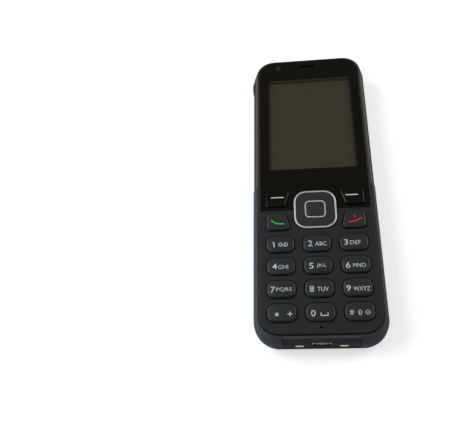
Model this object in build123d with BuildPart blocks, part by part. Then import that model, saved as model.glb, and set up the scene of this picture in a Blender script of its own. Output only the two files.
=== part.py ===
"""Keypad mobile phone in one straight body, lying on its back.

The display and the keys face +Z, the earpiece end points to +Y and +X is the user's right.
The origin lies on the back plane, under the middle of the outline. Lengths are in millimetres.
The housings, the sliding battery cover and the rows of keys carry the design; everything
inside is stacked between them in the order of the heights below.
"""
from build123d import *
import math
import os

os.makedirs("parts", exist_ok=True)

# Shared clearances
overrun = 6.0               # how far a cutting form passes the face it cuts
seat_gap = 0.1              # round glued and seated pieces
key_gap = 0.3               # round a key in its opening
edge_round = 0.3            # small moulded edge

# Outline of the body
corner_radius = 10.0
widest_height = 8.0         # height of the widest line of the sides
flank_angle = 18.5          # lean of the sides above the widest line
waist_angle = 11.0          # the same, of the waist that the battery cover wraps
face_edge_radius = 1.2
back_edge_radius = 4.0
side_radius = 8.0           # softens the widest line
housing_wall = 1.2
lip_thickness = 0.8
lip_depth = 1.0

# Battery cover and the stack of pieces above it, from the back plane upwards
cover_wall = 1.2
cover_step = 0.25           # cover stands proud of the upper body by this
cover_gap = 0.2             # running clearance of the sliding cover
seam_gap = 0.15
battery_clearance = 0.2
battery_thickness = 5.0
bay_floor = 1.0
board_clearance = 1.2
board_thickness = 1.0
film_thickness = 0.1
dome_height = 0.25
dome_gap = 0.05
key_travel = 0.35
mat_stand = 0.8
mat_thickness = 0.5
press_gap = 0.1
flange_thickness = 0.5
flange_gap = 0.15
face_plate = 1.6
rim_depth = 0.4             # hollow of the front housing under its plate
key_rise = 0.95             # keys stand above the face by this

waist_back = cover_wall + cover_gap
battery_bottom = waist_back + battery_clearance
battery_top = battery_bottom + battery_thickness
bay_ceiling = battery_top + battery_clearance
bay_floor_top = bay_ceiling + bay_floor
board_bottom = bay_floor_top + board_clearance
board_top = board_bottom + board_thickness
dome_top = board_top + film_thickness + dome_height
plunger_end = dome_top + dome_gap + key_travel
mat_bottom = board_top + mat_stand
mat_top = mat_bottom + mat_thickness
flange_bottom = mat_top + key_travel + press_gap
flange_top = flange_bottom + flange_thickness
plate_bottom = flange_top + flange_gap
body_thickness = plate_bottom + face_plate
parting_height = plate_bottom - rim_depth
key_top = body_thickness + key_rise

# Front layout, from the earpiece end downwards
top_margin = 3.2
display_drop = 10.5         # lens edge to display window
display_height = 49.5
lower_lens = 20.3           # display window to lower lens edge
call_gap = 1.4              # lens edge to call and end keys
call_height = 8.1
first_row_gap = 2.58
key_width = 11.36
key_height = 7.43
key_radius = 2.9
column_pitch = 14.69
row_pitch = 9.66
row_count = 4
side_margin = 5.58          # outer column to the widest line
bottom_margin = 7.2

keypad_length = (row_count - 1) * row_pitch + key_height
body_width = 2 * column_pitch + key_width + 2 * side_margin
body_length = (top_margin + display_drop + display_height + lower_lens + call_gap + call_height
               + first_row_gap + keypad_length + bottom_margin)
top_end = body_length / 2
lens_top = top_end - top_margin
display_top = lens_top - display_drop
display_bottom = display_top - display_height
lens_bottom = display_bottom - lower_lens
call_top = lens_bottom - call_gap
call_bottom = call_top - call_height
first_row = call_bottom - first_row_gap - key_height / 2
row_places = [first_row - row * row_pitch for row in range(row_count)]
column_places = [-column_pitch, 0, column_pitch]

# Display lens and what shows through it
lens_side_margin = 3.4
lens_thickness = 1.0
lens_top_radius = 7.0
lens_bottom_radius = 1.5
display_border = 3.9        # lens side to display window
lens_width = body_width - 2 * lens_side_margin
display_width = lens_width - 2 * display_border
lens_back = body_thickness - lens_thickness
display_middle = (display_top + display_bottom) / 2
ledge_view = 0.8            # opening of the ledge outside the display window
earpiece_width = 6.6
earpiece_height = 1.5
earpiece_round = 0.7
earpiece_drop = 3.0         # lens edge to earpiece slot
earpiece_y = lens_top - earpiece_drop
selfie_x = -13.8
selfie_view = 3.2           # round view of the front camera through the ledge

# Battery cover outline
cover_rise = 13.0           # lower lens edge to the cover's edge across the back
cover_top = lens_bottom + cover_rise
ear_radius = 2.5            # rounded top of the cover's sides
shoulder_drop = 0.25        # face to the top edge of the cover's sides
cover_shoulder = body_thickness - shoulder_drop
end_block_width = 29.6      # socket block between the ends of the cover
end_block_height = 4.4
end_block_depth = 4.0
grip_width = 14.0           # shallow grooves for the thumb that slides the cover
grip_groove = 0.8
grip_depth = 0.3
grip_pitch = 2.0
grip_count = 5
grip_drop = 8.0             # cover's upper edge to the middle of the grooves
waist_inset = cover_wall - cover_step + cover_gap

# Keys
flange_reach = 0.65         # key foot outside the key
key_edge_radius = 0.8
crown_rise = 0.25           # side-to-side crown of the key tops
plunger_radius = 1.0
plunger_hole_radius = 1.4
dome_radius = 2.0
dome_flat_radius = 0.9
mat_rim = 0.9               # foot of the silicone mat all round
mat_rim_gap = 0.2

# Call and end keys
call_outer = 20.2
call_inner_top = 12.2
call_inner_bottom = 10.2
call_radius = 1.8
call_plunger_x = 15.6

# Soft keys
soft_outer = 20.3
soft_inner_top = 10.2
soft_inner_bottom = 12.8
soft_top_gap = 8.9          # soft key top above the lower lens edge
soft_inner_rise = 0.5
soft_bottom_gap = 1.6
soft_radius = 1.3
soft_plunger_x = 15.8
soft_rise = 0.6
soft_top = lens_bottom + soft_top_gap
soft_bottom = lens_bottom + soft_bottom_gap

# Navigation key and the key in its middle
nav_width = 17.4
nav_radius = 5.1
nav_drop = 0.3              # centre under the lower lens edge
nav_rise = 0.8
nav_tilt_gap = 0.65         # room above the foot for the tilt
nav_foot = 0.4
nav_flange_reach = 0.5
nav_dome_inset = 2.5        # edge of the navigation key to its side plungers
nav_tilt_drop = 0.22        # fall of a side plunger at full tilt
trim_width = 0.75
trim_depth = 0.5
trim_round = 0.25
ok_side_inset = 5.25        # edge of the navigation key to the key in its middle
ok_end_inset = 5.575
ok_radius = 1.0
ok_frame_width = 0.5
ok_foot_drop = 1.6          # nav top face to the step over the key's foot
ok_foot_thickness = 0.55
ok_foot_reach = 0.45
ok_step_reach = 0.75
ok_foot_gap = 0.35
island_thickness = 0.3
island_side_inset = 1.0
island_end_inset = 4.0
island_hole_radius = 1.7
nav_y = lens_bottom - nav_drop
nav_top = body_thickness + nav_rise
nav_flange_top = plate_bottom - nav_tilt_gap
nav_flange_bottom = nav_flange_top - nav_foot
nav_plunger_end = dome_top + dome_gap + nav_tilt_drop
nav_flange_width = nav_width + 2 * nav_flange_reach
nav_dome_reach = nav_width / 2 - nav_dome_inset
ok_width = nav_width - 2 * ok_side_inset
ok_height = nav_width - 2 * ok_end_inset
ok_step_height = nav_top - ok_foot_drop

# Display module and its gasket
module_side = 2.35
module_top_side = 2.9
module_bottom_side = 4.9
module_lift = 0.2
module_thickness = 2.0
module_bottom = board_top + module_lift
module_top = module_bottom + module_thickness
glass_inset = 1.6
glass_step = 0.25

# Board
board_edge_gap = 0.35
board_corner = 6.0
cavity_inset = waist_inset + housing_wall

# Screws
post_radius = 1.3
insert_radius = 0.95
insert_length = 2.2
screw_radius = 0.7
screw_head_radius = 1.3
screw_head_height = 1.0
screw_socket_sides = 6
screw_seat = 4.4
thread_gap = 0.05
boss_radius = 1.9
upper_screw_x = 20.0
upper_screw_rise = 11.1     # above the lower lens edge
lower_screw_x = 13.5
lower_screw_lift = 5.0      # above the lower end
upper_screw_y = lens_bottom + upper_screw_rise
lower_screw_y = -top_end + lower_screw_lift
screw_places = [(-upper_screw_x, upper_screw_y), (upper_screw_x, upper_screw_y),
                (-lower_screw_x, lower_screw_y), (lower_screw_x, lower_screw_y)]

# Battery
battery_width = 34.0
battery_radius = 1.0
bay_lower_lift = 9.1        # lower end of the body to the battery
battery_drop = 82.0         # upper end of the body to the battery
bay_wall = 1.0
battery_low = -top_end + bay_lower_lift
battery_high = top_end - battery_drop
battery_length = battery_high - battery_low
contact_width = 9.0
contact_depth = 3.4

# Side key
side_key_length = 8.0
side_key_height = 2.6
side_key_round = 1.25
side_key_rise = 0.35
side_key_travel = 0.3
side_key_drop = 13.6        # upper end of the body to the middle of the key
side_key_foot = 0.6
side_key_reach = 1.0
side_key_gap = 0.2
side_key_slack = 0.6        # inner wall to the key's foot
switch_length = 4.4
switch_height = 1.6
switch_width = 3.0
switch_nub = 0.3
switch_gap = 0.05
side_key_y = top_end - side_key_drop

# Pieces on the back of the upper half
camera_drop = 17.6          # upper end of the body to the rear camera
window_radius = 4.4
window_depth = 0.8
camera_hole_radius = 3.4
barrel_radius = 3.8
camera_width = 8.6
camera_base = 3.5
camera_y = top_end - camera_drop
flash_x = 9.5
flash_radius = 1.7
flash_stem_radius = 1.2
flash_cap = 1.5
flash_inset = 0.05
light_height = 0.7
light_width = 2.0
light_gap = 0.05
speaker_drop = 38.0         # upper end of the body to the loudspeaker
speaker_width = 18.0
speaker_length = 12.0
speaker_headroom = 0.6
spring_radius = 0.5
spring_spread = 5.0
slot_length = 9.0
slot_width = 1.0
slot_pitch = 1.9
slot_count = 5
speaker_y = top_end - speaker_drop
motor_radius = 4.0
motor_thickness = 2.7
motor_x = -15.5
motor_y = speaker_y + speaker_length / 2 + motor_radius
can_width = 19.6
can_height = 1.7
can_wall = 0.3
can_x = 10.7
can_gap = 1.1               # loudspeaker to the cans
can_screw_gap = 5.8         # cans to the upper screw bosses
can_high = speaker_y - speaker_length / 2 - can_gap
can_low = upper_screw_y + boss_radius + can_screw_gap
can_y = (can_high + can_low) / 2
can_length = can_high - can_low
antenna_width = 24.0
antenna_length = 7.0
antenna_thickness = 0.3
antenna_x = -6.5
antenna_drop = 7.6
feed_width = 1.2
feed_spread = 2.5
antenna_y = top_end - antenna_drop
jack_x = 13.0
jack_width = 6.0
jack_height = 5.6
jack_length = 12.6
jack_bore_radius = 1.8
jack_bore_length = 13.4     # mouth to the end of the bore
jack_z = board_bottom - jack_height / 2

# Pieces at the upper end of the front
earpiece_body_width = 11.0
earpiece_body_length = 4.6
earpiece_body_top_gap = 0.2
mesh_margin = 0.7
mesh_thickness = 0.3
selfie_width = 4.4
selfie_barrel_radius = 1.45
selfie_drop = 3.2           # lens edge to the front camera
selfie_y = lens_top - selfie_drop

# Pieces at the lower end
socket_width = 7.4
socket_height = 2.6
socket_length = 5.0
socket_wall = 0.3
socket_set_back = 0.4
socket_clearance = 0.3
tongue_width = 3.8
tongue_height = 0.6
socket_z = board_bottom - socket_height / 2
contact_x = 8.5
contact_pad_width = 3.0
contact_pad_height = 1.6
contact_pad_thickness = 0.4
contact_pad_z = 6.4
contact_stem = 0.8
contact_round = 0.05
contact_stem_reach = 3.7
microphone_radius = 1.15
microphone_height = 1.9
microphone_lift = 5.0
microphone_hole_radius = 0.5
microphone_y = -top_end + microphone_lift

# Card holders under the battery, and the lights of the keypad
holder_height = 1.3
holder_wall = 0.3
sim_width = 13.2
sim_length = 16.0
card_width = 12.4
card_length = 15.0
holder_x = 7.8
holder_drop = 14.0          # upper end of the battery to the middle of the holders
holder_y = battery_high - holder_drop
keypad_light_width = 1.6
keypad_light_length = 0.8
keypad_light_height = 0.4


def body_form(inset, back, front, back_round, front_round, lean_angle=flank_angle):
    """The body drawn in by an inset all round, between two heights, with rounded edges."""
    outline = (body_width - 2 * inset, body_length - 2 * inset, corner_radius - inset)
    with BuildPart() as form:
        with BuildSketch(Plane.XY.offset(widest_height)):
            RectangleRounded(*outline)
        extrude(amount=front - widest_height, taper=lean_angle)
        with BuildSketch(Plane.XY.offset(back)):
            RectangleRounded(*outline)
        extrude(amount=widest_height - back)
        crease = form.edges().filter_by_position(Axis.Z, widest_height, widest_height)
        fillet(crease, radius=side_radius - inset)
        fillet(form.edges().group_by(Axis.Z)[-1], radius=front_round)
        fillet(form.edges().group_by(Axis.Z)[0], radius=back_round)
    return form.part


def cover_zone(clearance, rise):
    """Room of the battery cover seen from the side, drawn in by a clearance, less the end block.

    A rise carries the room on past the top edge of the cover's sides."""
    ear_round = ear_radius - clearance
    ear_y = cover_top - ear_radius
    ear_z = cover_shoulder - ear_radius
    far_end = -body_length
    with BuildPart() as zone:
        with BuildSketch(Plane.YZ):
            with BuildLine():
                Polyline((ear_y, ear_z + ear_round), (ear_y, ear_z + ear_round + rise),
                         (far_end, ear_z + ear_round + rise), (far_end, -overrun),
                         (ear_y + ear_round, -overrun), (ear_y + ear_round, ear_z))
                CenterArc((ear_y, ear_z), ear_round, start_angle=0, arc_size=90)
            make_face()
        extrude(amount=body_width, both=True)
        with BuildSketch(Plane.XY.offset(end_block_height - clearance)):
            with Locations((0, -top_end)):
                Rectangle(end_block_width + 2 * clearance, 2 * end_block_depth)
        extrude(amount=body_thickness, mode=Mode.SUBTRACT)
    return zone.part


def lens_outline(height, grow):
    """Lens outline at a height: wide rounded corners at the earpiece end, tight ones below."""
    with BuildSketch(Plane.XY.offset(height)) as outline:
        with Locations((0, (lens_top + lens_bottom) / 2)):
            Rectangle(lens_width + 2 * grow, lens_top - lens_bottom + 2 * grow)
        corners = outline.vertices().group_by(Axis.Y)
        fillet(corners[-1], radius=lens_top_radius + grow)
        fillet(corners[0], radius=lens_bottom_radius)
    return outline.sketch


def key_outline(x, y, height, grow):
    """Outline of a keypad key."""
    with BuildSketch(Plane.XY.offset(height)) as outline:
        with Locations((x, y)):
            RectangleRounded(key_width + 2 * grow, key_height + 2 * grow, key_radius + grow)
    return outline.sketch


def call_outline(side, height, grow):
    """Outline of the call key (side -1) or the end key (side 1), with a slanted inner edge."""
    with BuildSketch(Plane.XY.offset(height)) as outline:
        Polygon((side * call_outer, call_top), (side * call_inner_top, call_top),
                (side * call_inner_bottom, call_bottom), (side * call_outer, call_bottom), align=None)
        fillet(outline.vertices(), radius=call_radius)
        if grow:
            offset(amount=grow)
    return outline.sketch


def soft_outline(side, height, grow):
    """Outline of the left (side -1) or right (side 1) soft key, slanted along the navigation key."""
    with BuildSketch(Plane.XY.offset(height)) as outline:
        Polygon((side * soft_outer, soft_top), (side * soft_inner_top, soft_top + soft_inner_rise),
                (side * soft_inner_bottom, soft_bottom), (side * soft_outer, soft_bottom), align=None)
        fillet(outline.vertices(), radius=soft_radius)
        if grow:
            offset(amount=grow)
    return outline.sketch


def nav_outline(height, grow):
    """Rounded square of the navigation key."""
    with BuildSketch(Plane.XY.offset(height)) as outline:
        with Locations((0, nav_y)):
            RectangleRounded(nav_width + 2 * grow, nav_width + 2 * grow, nav_radius + grow)
    return outline.sketch


def ok_outline(height, grow):
    """Outline of the key in the middle of the navigation key."""
    with BuildSketch(Plane.XY.offset(height)) as outline:
        with Locations((0, nav_y)):
            RectangleRounded(ok_width + 2 * grow, ok_height + 2 * grow, ok_radius + grow)
    return outline.sketch


def disc(places, height, radius):
    """Discs at the given places, at a height."""
    with BuildSketch(Plane.XY.offset(height)) as outline:
        with Locations(*places):
            Circle(radius)
    return outline.sketch


def block(x, y, height, width, length, rounding):
    """Rounded rectangle at a height."""
    with BuildSketch(Plane.XY.offset(height)) as outline:
        with Locations((x, y)):
            RectangleRounded(width, length, rounding)
    return outline.sketch


def save(piece, name):
    """Label a finished piece and write it out."""
    piece.label = name
    export_step(piece, "parts/" + name + ".step")


def lean(height):
    """How far the sides have leaned in at a height above the widest line."""
    return (height - widest_height) * math.tan(math.radians(flank_angle))


key_places = [(x, y) for y in row_places for x in column_places]
call_middle = (call_top + call_bottom) / 2
soft_middle = (soft_top + soft_bottom) / 2
side_places = [(-call_plunger_x, call_middle), (call_plunger_x, call_middle),
               (-soft_plunger_x, soft_middle), (soft_plunger_x, soft_middle)]
nav_places = [(0, nav_y), (-nav_dome_reach, nav_y), (nav_dome_reach, nav_y),
              (0, nav_y - nav_dome_reach), (0, nav_y + nav_dome_reach)]
light_places = [(side * column_pitch / 2, (row_places[row] + row_places[row + 1]) / 2)
                for side in (-1, 1) for row in (0, 2)]

# Forms shared by the housings and the cover
waist_form = body_form(waist_inset, waist_back, body_thickness, back_edge_radius - waist_inset,
                       edge_round, waist_angle)
lower_cavity = body_form(cavity_inset, waist_back + housing_wall, plate_bottom, edge_round, edge_round)

with BuildPart() as upper_cavity:
    add(body_form(housing_wall, housing_wall, plate_bottom, back_edge_radius - housing_wall, edge_round))
    split(bisect_by=Plane.XZ.offset(-cover_top - housing_wall), keep=Keep.BOTTOM)

with BuildPart() as cover_space:
    add(cover_zone(0, overrun))
    add(waist_form, mode=Mode.SUBTRACT)

with BuildPart() as housing_form:
    add(body_form(0, 0, body_thickness, back_edge_radius, face_edge_radius))
    add(cover_space.part, mode=Mode.SUBTRACT)

# Front housing: plate with the lens recess, every key opening and the screw posts
lip_x = body_width / 2 - cavity_inset - lean(parting_height) - seat_gap - lip_thickness / 2
lip_length = body_length - 2 * corner_radius - 2 * overrun
mesh_width = earpiece_width + 2 * mesh_margin
mesh_length = earpiece_height + 2 * mesh_margin

with BuildPart() as screw_posts:
    extrude(disc(screw_places, board_top, post_radius), amount=plate_bottom - board_top)
    add(body_form(cavity_inset + seat_gap, waist_back, body_thickness, edge_round, edge_round),
        mode=Mode.INTERSECT)

with BuildPart() as front_housing:
    add(housing_form.part)
    split(bisect_by=Plane.XY.offset(parting_height), keep=Keep.TOP)
    add(lower_cavity, mode=Mode.SUBTRACT)
    for side in (-1, 1):
        lip = block(side * lip_x, 0, parting_height - lip_depth, lip_thickness, lip_length, edge_round)
        extrude(lip, amount=plate_bottom - parting_height + lip_depth)
    add(screw_posts.part)
    extrude(disc(screw_places, board_top, insert_radius), amount=insert_length, mode=Mode.SUBTRACT)
    extrude(lens_outline(lens_back, seat_gap), amount=lens_thickness + overrun, mode=Mode.SUBTRACT)
    view = block(0, display_middle, parting_height, display_width + 2 * ledge_view,
                 display_height + 2 * ledge_view, edge_round)
    extrude(view, amount=overrun, mode=Mode.SUBTRACT)
    extrude(block(0, earpiece_y, parting_height, earpiece_width, earpiece_height, edge_round),
            amount=overrun, mode=Mode.SUBTRACT)
    extrude(block(0, earpiece_y, lens_back - mesh_thickness, mesh_width + 2 * seat_gap,
                  mesh_length + 2 * seat_gap, edge_round), amount=overrun, mode=Mode.SUBTRACT)
    extrude(disc([(selfie_x, selfie_y)], parting_height, selfie_view / 2), amount=overrun, mode=Mode.SUBTRACT)
    extrude(disc([(0, microphone_y)], parting_height, microphone_hole_radius), amount=overrun,
            mode=Mode.SUBTRACT)
    extrude(nav_outline(parting_height, key_gap), amount=overrun, mode=Mode.SUBTRACT)
    for side in (-1, 1):
        extrude(call_outline(side, parting_height, key_gap), amount=overrun, mode=Mode.SUBTRACT)
        extrude(soft_outline(side, parting_height, key_gap), amount=overrun, mode=Mode.SUBTRACT)
    for x, y in key_places:
        extrude(key_outline(x, y, parting_height, key_gap), amount=overrun, mode=Mode.SUBTRACT)
save(front_housing.part, "front_housing")

# Rear housing: tub with the battery bay, screw bosses, camera, speaker and socket openings
bay_width = battery_width + 2 * key_gap
bay_length = battery_length + 2 * key_gap
battery_middle = (battery_low + battery_high) / 2
contact_y = battery_high + seat_gap + contact_depth / 2

with BuildPart() as rear_housing:
    add(housing_form.part)
    split(bisect_by=Plane.XY.offset(parting_height), keep=Keep.BOTTOM)
    add(lower_cavity, mode=Mode.SUBTRACT)
    add(upper_cavity.part, mode=Mode.SUBTRACT)
    extrude(block(0, battery_middle, waist_back, bay_width + 2 * bay_wall, bay_length + 2 * bay_wall,
                  battery_radius + bay_wall), amount=bay_floor_top - waist_back)
    boss_bottom = waist_back + housing_wall
    extrude(disc(screw_places, boss_bottom, boss_radius), amount=board_bottom - boss_bottom)
    extrude(block(0, battery_middle, waist_back - overrun, bay_width, bay_length, battery_radius),
            amount=bay_ceiling - waist_back + overrun, mode=Mode.SUBTRACT)
    extrude(block(0, contact_y, waist_back + housing_wall, contact_width + 2 * seat_gap,
                  contact_depth + 2 * seat_gap, edge_round), amount=overrun, mode=Mode.SUBTRACT)
    extrude(block(-holder_x, holder_y, battery_top, sim_width + 2 * key_gap, sim_length + 2 * key_gap,
                  edge_round), amount=overrun, mode=Mode.SUBTRACT)
    extrude(block(holder_x, holder_y, battery_top, card_width + 2 * key_gap, card_length + 2 * key_gap,
                  edge_round), amount=overrun, mode=Mode.SUBTRACT)
    extrude(disc(screw_places, waist_back - overrun, screw_head_radius + seat_gap),
            amount=screw_seat - waist_back + overrun, mode=Mode.SUBTRACT)
    extrude(disc(screw_places, waist_back, screw_radius + seat_gap), amount=board_bottom,
            mode=Mode.SUBTRACT)
    extrude(disc([(0, camera_y)], -overrun, window_radius + seat_gap), amount=window_depth + overrun,
            mode=Mode.SUBTRACT)
    extrude(disc([(0, camera_y)], -overrun, camera_hole_radius), amount=2 * overrun, mode=Mode.SUBTRACT)
    extrude(disc([(flash_x, camera_y)], -overrun, flash_radius + light_gap), amount=2 * overrun,
            mode=Mode.SUBTRACT)
    with BuildSketch():
        with Locations((0, speaker_y)):
            with GridLocations(0, slot_pitch, 1, slot_count):
                SlotOverall(slot_length, slot_width)
    extrude(amount=overrun, both=True, mode=Mode.SUBTRACT)
    with BuildSketch(Plane.XZ.offset(-top_end)):
        with Locations((jack_x, jack_z)):
            Circle(jack_bore_radius)
    extrude(amount=overrun, both=True, mode=Mode.SUBTRACT)
    with BuildSketch(Plane.XZ.offset(top_end)):
        with Locations((0, socket_z)):
            RectangleRounded(socket_width + 2 * socket_clearance, socket_height + 2 * socket_clearance,
                             socket_clearance)
    extrude(amount=end_block_depth, both=True, mode=Mode.SUBTRACT)
    with BuildSketch(Plane.XZ.offset(top_end - contact_pad_thickness)):
        with Locations((-contact_x, contact_pad_z), (contact_x, contact_pad_z)):
            Rectangle(contact_pad_width, contact_pad_height)
    extrude(amount=overrun, mode=Mode.SUBTRACT)
    with BuildSketch(Plane.XZ.offset(top_end)):
        with Locations((-contact_x, contact_pad_z), (contact_x, contact_pad_z)):
            Rectangle(contact_stem + 2 * seat_gap, contact_stem + 2 * seat_gap)
    extrude(amount=end_block_depth, both=True, mode=Mode.SUBTRACT)
    with BuildSketch(Plane.YZ.offset(-body_width / 2)):
        with Locations((side_key_y, widest_height)):
            RectangleRounded(side_key_length + 2 * side_key_gap, side_key_height + 2 * side_key_gap,
                             side_key_height / 2)
    extrude(amount=2 * housing_wall, both=True, mode=Mode.SUBTRACT)
save(rear_housing.part, "rear_housing")

# Battery cover: slides off towards the lower end, held by its leaning sides
with BuildPart() as battery_cover:
    add(body_form(-cover_step, 0, body_thickness, back_edge_radius, face_edge_radius))
    add(body_form(cover_wall - cover_step, cover_wall, body_thickness + overrun,
                  back_edge_radius - cover_wall, edge_round, waist_angle), mode=Mode.SUBTRACT)
    add(cover_zone(seam_gap, seam_gap / 2), mode=Mode.INTERSECT)
    with BuildSketch():
        with Locations((0, cover_top - grip_drop)):
            with GridLocations(0, grip_pitch, 1, grip_count):
                SlotOverall(grip_width, grip_groove)
    extrude(amount=grip_depth, mode=Mode.SUBTRACT)
save(battery_cover.part, "battery_cover")

# Display lens with the earpiece slot and openings for the keys that stand in it
with BuildPart() as display_lens:
    extrude(lens_outline(lens_back, 0), amount=lens_thickness)
    extrude(nav_outline(lens_back, key_gap), amount=overrun, mode=Mode.SUBTRACT)
    for side in (-1, 1):
        extrude(soft_outline(side, lens_back, key_gap), amount=overrun, mode=Mode.SUBTRACT)
    extrude(block(0, earpiece_y, lens_back, earpiece_width, earpiece_height, earpiece_round),
            amount=overrun, mode=Mode.SUBTRACT)
save(display_lens.part, "display_lens")

# Display module with its raised glass, and the foam gasket that seals it to the housing
module_low = display_bottom - module_bottom_side
module_high = display_top + module_top_side
module_middle = (module_low + module_high) / 2
module_width = display_width + 2 * module_side
module_length = module_high - module_low

with BuildPart() as display_module:
    extrude(block(0, module_middle, module_bottom, module_width, module_length, edge_round),
            amount=module_thickness - glass_step)
    extrude(block(0, module_middle, module_bottom, module_width - 2 * glass_inset,
                  module_length - 2 * glass_inset, edge_round), amount=module_thickness)
save(display_module.part, "display_module")

with BuildPart() as display_gasket:
    extrude(block(0, module_middle, module_top, module_width, module_length, edge_round),
            amount=plate_bottom - module_top)
    extrude(block(0, display_middle, module_top, display_width + 2 * ledge_view,
                  display_height + 2 * ledge_view, edge_round), amount=overrun, mode=Mode.SUBTRACT)
save(display_gasket.part, "display_gasket")

# Earpiece speaker under its mesh, and the front camera beside it
earpiece_body_top = plate_bottom - earpiece_body_top_gap

with BuildPart() as earpiece_speaker:
    extrude(block(0, earpiece_y, board_top, earpiece_body_width, earpiece_body_length, edge_round),
            amount=earpiece_body_top - board_top)
save(earpiece_speaker.part, "earpiece_speaker")

with BuildPart() as earpiece_mesh:
    extrude(block(0, earpiece_y, lens_back - mesh_thickness, mesh_width, mesh_length, edge_round),
            amount=mesh_thickness)
save(earpiece_mesh.part, "earpiece_mesh")

with BuildPart() as front_camera:
    extrude(block(selfie_x, selfie_y, board_top, selfie_width, selfie_width, edge_round),
            amount=earpiece_body_top - board_top)
    extrude(disc([(selfie_x, selfie_y)], board_top, selfie_barrel_radius),
            amount=lens_back - light_gap - board_top)
save(front_camera.part, "front_camera")

# Main board, with a clearance hole for each screw
board_width = body_width - 2 * cavity_inset - 2 * lean(board_top) - 2 * board_edge_gap
board_length = body_length - 2 * cavity_inset - 2 * lean(board_top) - 2 * board_edge_gap

with BuildPart() as main_board:
    extrude(block(0, 0, board_bottom, board_width, board_length, board_corner), amount=board_thickness)
    extrude(disc(screw_places, board_bottom, screw_radius + seat_gap), amount=board_thickness,
            mode=Mode.SUBTRACT)
save(main_board.part, "main_board")

# Dome sheet: one snap dome under every key, and the silicone mat over it
mat_width = body_width - 2 * side_margin + key_gap
mat_low = row_places[-1] - key_height / 2 - key_gap
mat_opening = nav_flange_width + 2 * key_gap
mat_high = nav_y + mat_opening / 2 + mat_rim
mat_middle = (mat_low + mat_high) / 2
mat_length = mat_high - mat_low
film_width = mat_width - 2 * mat_rim - 2 * mat_rim_gap
film_length = mat_length - 2 * mat_rim - 2 * mat_rim_gap

with BuildPart() as dome_sheet:
    extrude(block(0, mat_middle, board_top, film_width, film_length, edge_round), amount=film_thickness)
    with BuildSketch(Plane.XY.offset(board_top)):
        with Locations(*light_places):
            Rectangle(keypad_light_width + 2 * seat_gap, keypad_light_length + 2 * seat_gap)
    extrude(amount=film_thickness, mode=Mode.SUBTRACT)
    with Locations(*[(x, y, board_top + film_thickness) for x, y in key_places + side_places + nav_places]):
        Cone(dome_radius, dome_flat_radius, dome_height, align=(Align.CENTER, Align.CENTER, Align.MIN))
save(dome_sheet.part, "dome_sheet")

with BuildPart() as keypad_mat:
    extrude(block(0, mat_middle, board_top, mat_width, mat_length, edge_round), amount=mat_top - board_top)
    extrude(block(0, mat_middle, board_top, mat_width - 2 * mat_rim, mat_length - 2 * mat_rim,
                  edge_round), amount=mat_stand, mode=Mode.SUBTRACT)
    extrude(disc(key_places + side_places, board_top, plunger_hole_radius), amount=overrun,
            mode=Mode.SUBTRACT)
    extrude(block(0, nav_y, board_top, mat_opening, mat_opening, nav_radius), amount=overrun,
            mode=Mode.SUBTRACT)
    extrude(disc(screw_places, board_top, post_radius + mat_rim_gap), amount=overrun, mode=Mode.SUBTRACT)
save(keypad_mat.part, "keypad_mat")

with BuildPart() as keypad_lights:
    with BuildSketch(Plane.XY.offset(board_top)):
        with Locations(*light_places):
            Rectangle(keypad_light_width, keypad_light_length)
    extrude(amount=keypad_light_height)
save(keypad_lights.part, "keypad_lights")

# Keypad keys: crowned side to side, soft top edges, a foot and a plunger
key_names = ["key_1", "key_2", "key_3", "key_4", "key_5", "key_6",
             "key_7", "key_8", "key_9", "key_star", "key_0", "key_hash"]
crown_radius = ((key_width / 2) ** 2 + crown_rise ** 2) / (2 * crown_rise)

for key_name, (x, y) in zip(key_names, key_places):
    with BuildPart() as key:
        extrude(key_outline(x, y, flange_bottom, 0), amount=key_top - flange_bottom)
        with BuildSketch(Plane.XZ.offset(-y)):
            with Locations((x, key_top - crown_radius)):
                Circle(crown_radius)
        extrude(amount=key_height, both=True, mode=Mode.INTERSECT)
        fillet(key.faces().sort_by(Axis.Z)[-1].edges(), radius=key_edge_radius)
        extrude(key_outline(x, y, flange_bottom, flange_reach), amount=flange_thickness)
        extrude(disc([(x, y)], plunger_end, plunger_radius), amount=flange_bottom - plunger_end)
    save(key.part, key_name)

# Call and end keys
for key_name, side in (("call_key", -1), ("end_key", 1)):
    with BuildPart() as key:
        extrude(call_outline(side, flange_bottom, 0), amount=key_top - flange_bottom)
        fillet(key.faces().sort_by(Axis.Z)[-1].edges(), radius=key_edge_radius)
        extrude(call_outline(side, flange_bottom, flange_reach), amount=flange_thickness)
        extrude(disc([(side * call_plunger_x, call_middle)], plunger_end, plunger_radius),
                amount=flange_bottom - plunger_end)
    save(key.part, key_name)

# Soft keys
for key_name, side in (("soft_key_left", -1), ("soft_key_right", 1)):
    with BuildPart() as key:
        extrude(soft_outline(side, flange_bottom, 0), amount=body_thickness + soft_rise - flange_bottom)
        fillet(key.faces().sort_by(Axis.Z)[-1].edges(), radius=edge_round)
        extrude(soft_outline(side, flange_bottom, flange_reach), amount=flange_thickness)
        extrude(disc([(side * soft_plunger_x, soft_middle)], plunger_end, plunger_radius),
                amount=flange_bottom - plunger_end)
    save(key.part, key_name)

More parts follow.
